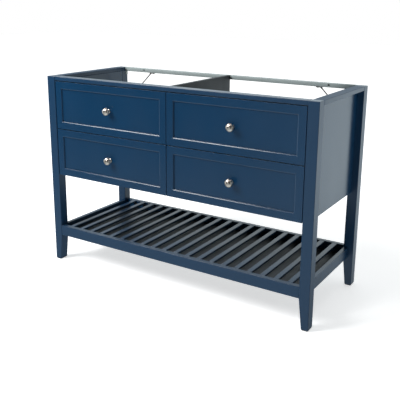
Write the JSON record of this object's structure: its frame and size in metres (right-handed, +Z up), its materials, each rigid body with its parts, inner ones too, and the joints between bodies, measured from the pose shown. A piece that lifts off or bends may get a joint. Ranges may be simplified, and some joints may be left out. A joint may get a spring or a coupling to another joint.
{
  "type": "bathroom vanity cabinet",
  "caption": "Freestanding bathroom vanity base with inset drawers, open back and top, tapered legs and a low slatted shelf.",
  "frame": {"origin": "on the floor, under the centre of the whole object's box, knobs included", "axes": "+Z up, +X to the right for someone facing the drawers, drawers open towards -Y"},
  "size_m": [1.2, 0.5024, 0.81],
  "materials": {
    "blue_lacquer": "navy blue satin lacquer on solid wood and board",
    "dark_board": "matt slate-grey painted board",
    "stained_ply": "plywood stained dark slate, satin clear coat",
    "satin_nickel": "warm satin nickel",
    "grey_steel": "light grey powder coat",
    "brace_steel": "dark grey painted steel",
    "slide_steel": "black coated sheet steel",
    "zinc_screw": "bright zinc plated",
    "black_glide": "black moulded plastic"
  },
  "bodies": {
    "cabinet": {"front_left_leg": "blue_lacquer", "front_right_leg": "blue_lacquer", "rear_left_leg": "blue_lacquer", "rear_right_leg": "blue_lacquer", "foot_glides": "black_glide", "top_front_rail": "blue_lacquer", "top_left_rail": "blue_lacquer", "top_right_rail": "blue_lacquer", "left_side_panel": "blue_lacquer", "right_side_panel": "blue_lacquer", "lower_front_rail": "blue_lacquer", "lower_back_rail": "blue_lacquer", "lower_left_rail": "blue_lacquer", "lower_right_rail": "blue_lacquer", "shelf_board": "dark_board", "shelf_slats": "blue_lacquer", "bottom_front_stretcher": "dark_board", "bottom_back_stretcher": "dark_board", "centre_divider": "dark_board", "rear_top_rail": "grey_steel", "left_corner_brace": "brace_steel", "right_corner_brace": "brace_steel", "bracket_screws": "zinc_screw", "slide_outer_members": "slide_steel"},
    "lower_left_drawer": {"lower_left_drawer_front": "blue_lacquer", "lower_left_drawer_left_side": "stained_ply", "lower_left_drawer_right_side": "stained_ply", "lower_left_drawer_back": "stained_ply", "lower_left_drawer_bottom": "stained_ply", "lower_left_drawer_knob": "satin_nickel", "lower_left_drawer_knob_screw": "zinc_screw", "lower_left_drawer_slide_inners": "slide_steel"},
    "lower_left_slide": {"lower_left_drawer_slide_middles": "slide_steel"},
    "lower_right_drawer": {"lower_right_drawer_front": "blue_lacquer", "lower_right_drawer_left_side": "stained_ply", "lower_right_drawer_right_side": "stained_ply", "lower_right_drawer_back": "stained_ply", "lower_right_drawer_bottom": "stained_ply", "lower_right_drawer_knob": "satin_nickel", "lower_right_drawer_knob_screw": "zinc_screw", "lower_right_drawer_slide_inners": "slide_steel"},
    "lower_right_slide": {"lower_right_drawer_slide_middles": "slide_steel"},
    "upper_left_drawer": {"upper_left_drawer_front": "blue_lacquer", "upper_left_drawer_left_side": "stained_ply", "upper_left_drawer_right_side": "stained_ply", "upper_left_drawer_back": "stained_ply", "upper_left_drawer_bottom": "stained_ply", "upper_left_drawer_knob": "satin_nickel", "upper_left_drawer_knob_screw": "zinc_screw", "upper_left_drawer_slide_inners": "slide_steel"},
    "upper_left_slide": {"upper_left_drawer_slide_middles": "slide_steel"},
    "upper_right_drawer": {"upper_right_drawer_front": "blue_lacquer", "upper_right_drawer_left_side": "stained_ply", "upper_right_drawer_right_side": "stained_ply", "upper_right_drawer_back": "stained_ply", "upper_right_drawer_bottom": "stained_ply", "upper_right_drawer_knob": "satin_nickel", "upper_right_drawer_knob_screw": "zinc_screw", "upper_right_drawer_slide_inners": "slide_steel"},
    "upper_right_slide": {"upper_right_drawer_slide_middles": "slide_steel"}
  },
  "joints": [
    {"name": "lower_left_drawer_pull", "type": "slide", "parent": "cabinet", "child": "lower_left_drawer", "axis": [0, -1, 0], "range_m": [0, 0.34]},
    {"name": "lower_left_slide_run", "type": "slide", "parent": "cabinet", "child": "lower_left_slide", "axis": [0, -1, 0], "range_m": [0, 0.17]},
    {"name": "lower_right_drawer_pull", "type": "slide", "parent": "cabinet", "child": "lower_right_drawer", "axis": [0, -1, 0], "range_m": [0, 0.34]},
    {"name": "lower_right_slide_run", "type": "slide", "parent": "cabinet", "child": "lower_right_slide", "axis": [0, -1, 0], "range_m": [0, 0.17]},
    {"name": "upper_left_drawer_pull", "type": "slide", "parent": "cabinet", "child": "upper_left_drawer", "axis": [0, -1, 0], "range_m": [0, 0.34]},
    {"name": "upper_left_slide_run", "type": "slide", "parent": "cabinet", "child": "upper_left_slide", "axis": [0, -1, 0], "range_m": [0, 0.17]},
    {"name": "upper_right_drawer_pull", "type": "slide", "parent": "cabinet", "child": "upper_right_drawer", "axis": [0, -1, 0], "range_m": [0, 0.34]},
    {"name": "upper_right_slide_run", "type": "slide", "parent": "cabinet", "child": "upper_right_slide", "axis": [0, -1, 0], "range_m": [0, 0.17]}
  ],
  "couplings": [
    {"joint": "lower_left_slide_run", "follows": "lower_left_drawer_pull", "ratio": 0.5},
    {"joint": "lower_right_slide_run", "follows": "lower_right_drawer_pull", "ratio": 0.5},
    {"joint": "upper_left_slide_run", "follows": "upper_left_drawer_pull", "ratio": 0.5},
    {"joint": "upper_right_slide_run", "follows": "upper_right_drawer_pull", "ratio": 0.5}
  ]
}
